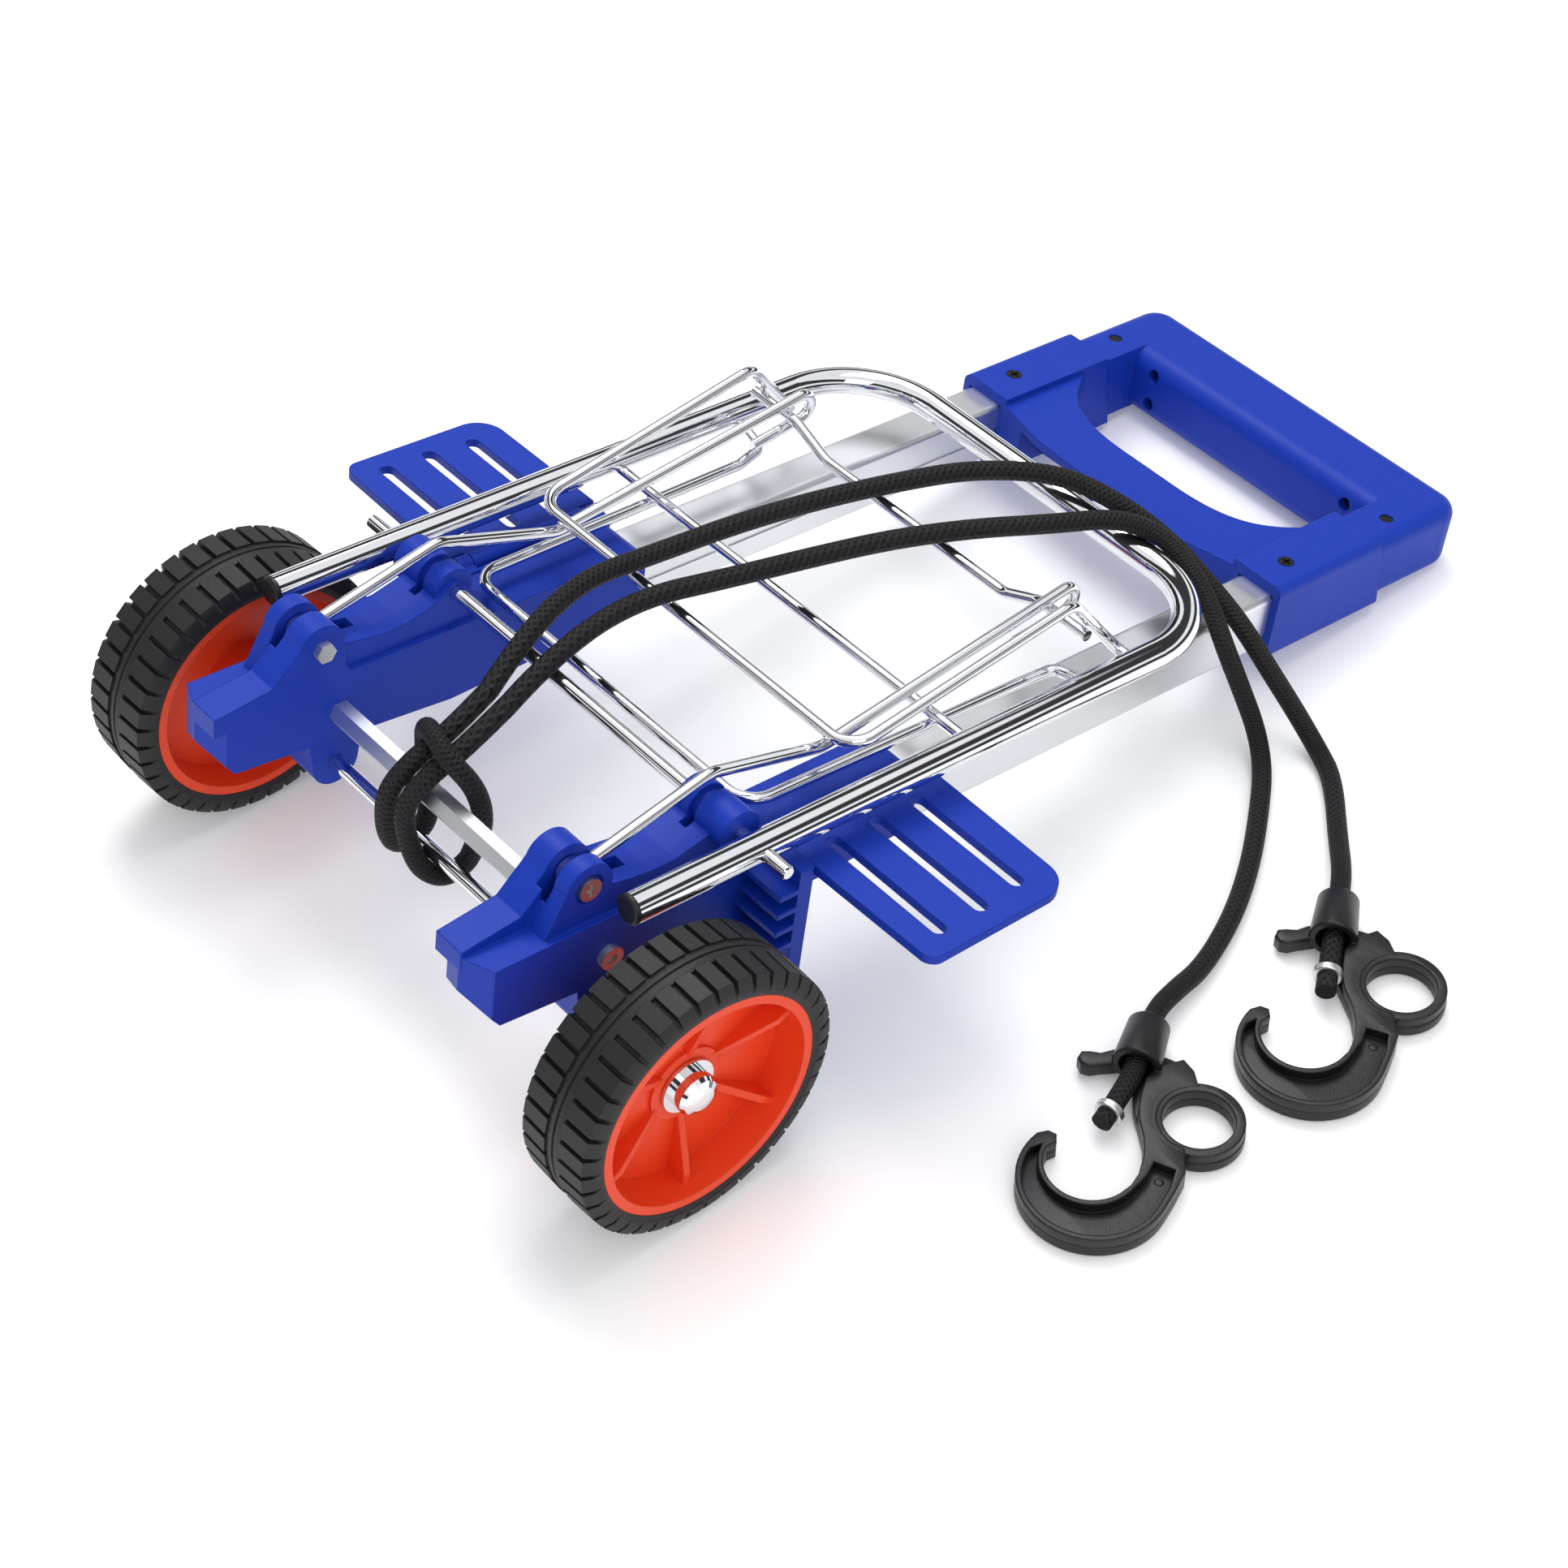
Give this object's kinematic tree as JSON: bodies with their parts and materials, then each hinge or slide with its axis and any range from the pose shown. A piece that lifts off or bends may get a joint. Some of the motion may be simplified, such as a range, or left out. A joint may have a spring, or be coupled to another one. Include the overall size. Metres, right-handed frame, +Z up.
{
  "type": "folding luggage cart",
  "caption": "Folding luggage cart lying folded on its back, with a telescopic handle, fold-out wire platform, side wings, large wheels and an elastic cord with hooks.",
  "frame": {"origin": "centre of the bottom of the bounding box of everything but the cord and its hooks", "axes": "+Z up with the folded cart lying on its back, +Y along the tubes towards the grip, +X towards the side the cord's hooks lie on"},
  "size_m": [0.4799, 0.5588, 0.1348],
  "materials": {
    "blue_plastic": "fine satin grain",
    "black_plastic": "fine grain",
    "black_spacer": "smooth",
    "orange_plastic": "smooth",
    "tyre_rubber": "matte with fine moulding lines",
    "aluminium": "satin anodised",
    "chrome": "polished plating",
    "zinc_steel": "zinc plated",
    "black_steel": "blackened",
    "elastic_cord": "braided sheath",
    "pale_plastic": "satin",
    "clip_wire": "bright drawn wire"
  },
  "bodies": {
    "frame": {"bracket_left": "blue_plastic", "bracket_right": "blue_plastic", "outer_tube_left": "aluminium", "outer_tube_right": "aluminium", "yoke": "blue_plastic", "hex_bar": "aluminium", "axle": "chrome", "hex_bar_screw_left": "zinc_steel", "hex_bar_screw_right": "zinc_steel", "axle_spacer_left": "black_spacer", "axle_spacer_right": "black_spacer", "axle_cap_left": "chrome", "axle_cap_right": "chrome", "lug_bolt_left": "zinc_steel", "lug_bolt_right": "zinc_steel", "lug_nut_left": "zinc_steel", "lug_nut_right": "zinc_steel", "yoke_screw_left": "black_steel", "yoke_screw_right": "black_steel", "wing_pin_left": "zinc_steel", "wing_pin_right": "zinc_steel", "cord_hitch": "elastic_cord", "cord_long": "elastic_cord", "cord_short": "elastic_cord", "hook_long": "black_plastic", "hook_short": "black_plastic", "clip_long": "clip_wire", "clip_short": "clip_wire"},
    "middle_stage": {"middle_tube_left": "aluminium", "middle_tube_right": "aluminium"},
    "handle": {"inner_tube_left": "aluminium", "inner_tube_right": "aluminium", "grip_shell": "blue_plastic", "grip_cap": "blue_plastic", "grip_screws": "black_steel"},
    "release": {"release_bar": "pale_plastic"},
    "platform": {"platform_tube": "chrome", "pivot_rod": "chrome", "tread_wire": "chrome", "cross_wire": "chrome", "tube_cap_left": "black_plastic", "tube_cap_right": "black_plastic"},
    "foot": {"foot_wire": "chrome", "foot_rod": "chrome"},
    "link_left": {"link_leg_left": "chrome"},
    "link_right": {"link_leg_right": "chrome"},
    "wheel_left": {"tyre_left": "tyre_rubber", "hub_left": "orange_plastic"},
    "wheel_right": {"tyre_right": "tyre_rubber", "hub_right": "orange_plastic"},
    "wing_left": {"wing_left": "blue_plastic"},
    "wing_right": {"wing_right": "blue_plastic"}
  },
  "joints": [
    {"name": "platform_fold", "type": "hinge", "parent": "frame", "child": "platform", "pos_m": [0, -0.15388, 0.11413], "axis": [1, 0, 0], "range_deg": [0, 87], "deforming": ["cord_long", "cord_short"]},
    {"name": "foot_fold", "type": "hinge", "parent": "platform", "child": "foot", "pos_m": [0, 0.04897, 0.08458], "axis": [1, 0, 0], "range_deg": [-111, 0]},
    {"name": "link_fold_left", "type": "hinge", "parent": "frame", "child": "link_left", "pos_m": [-0.0865, -0.22002, 0.12356], "axis": [1, 0, 0], "range_deg": [0, 71.5]},
    {"name": "link_fold_right", "type": "hinge", "parent": "frame", "child": "link_right", "pos_m": [0.0865, -0.22002, 0.12356], "axis": [1, 0, 0], "range_deg": [0, 71.5]},
    {"name": "wheel_left_spin", "type": "hinge", "parent": "frame", "child": "wheel_left", "pos_m": [-0.1453, -0.21937, 0.06], "axis": [1, 0, 0], "continuous": true},
    {"name": "wheel_right_spin", "type": "hinge", "parent": "frame", "child": "wheel_right", "pos_m": [0.1453, -0.21937, 0.06], "axis": [1, 0, 0], "continuous": true},
    {"name": "middle_stage_slide", "type": "slide", "parent": "frame", "child": "middle_stage", "axis": [0, 0.9896, -0.1441], "range_m": [0, 0.3]},
    {"name": "handle_slide", "type": "slide", "parent": "middle_stage", "child": "handle", "axis": [0, 0.9896, -0.1441], "range_m": [0, 0.3]},
    {"name": "release_press", "type": "slide", "parent": "handle", "child": "release", "axis": [0, -0.9896, 0.1441], "range_m": [0, 0.003], "stiffness_N_per_m": 1200, "springref_m": -0.002},
    {"name": "wing_right_fold", "type": "hinge", "parent": "frame", "child": "wing_right", "pos_m": [0.105, -0.09498, 0.08837], "axis": [0, 0.9896, -0.1441], "range_deg": [0, 65]},
    {"name": "wing_left_fold", "type": "hinge", "parent": "frame", "child": "wing_left", "pos_m": [-0.105, -0.09498, 0.08837], "axis": [0, -0.9896, 0.1441], "range_deg": [0, 65]}
  ],
  "couplings": [
    {"joint": "foot_fold", "follows": "platform_fold", "ratio": -1.27},
    {"joint": "link_fold_left", "follows": "platform_fold", "ratio": 0.815},
    {"joint": "link_fold_right", "follows": "platform_fold", "ratio": 0.815}
  ]
}
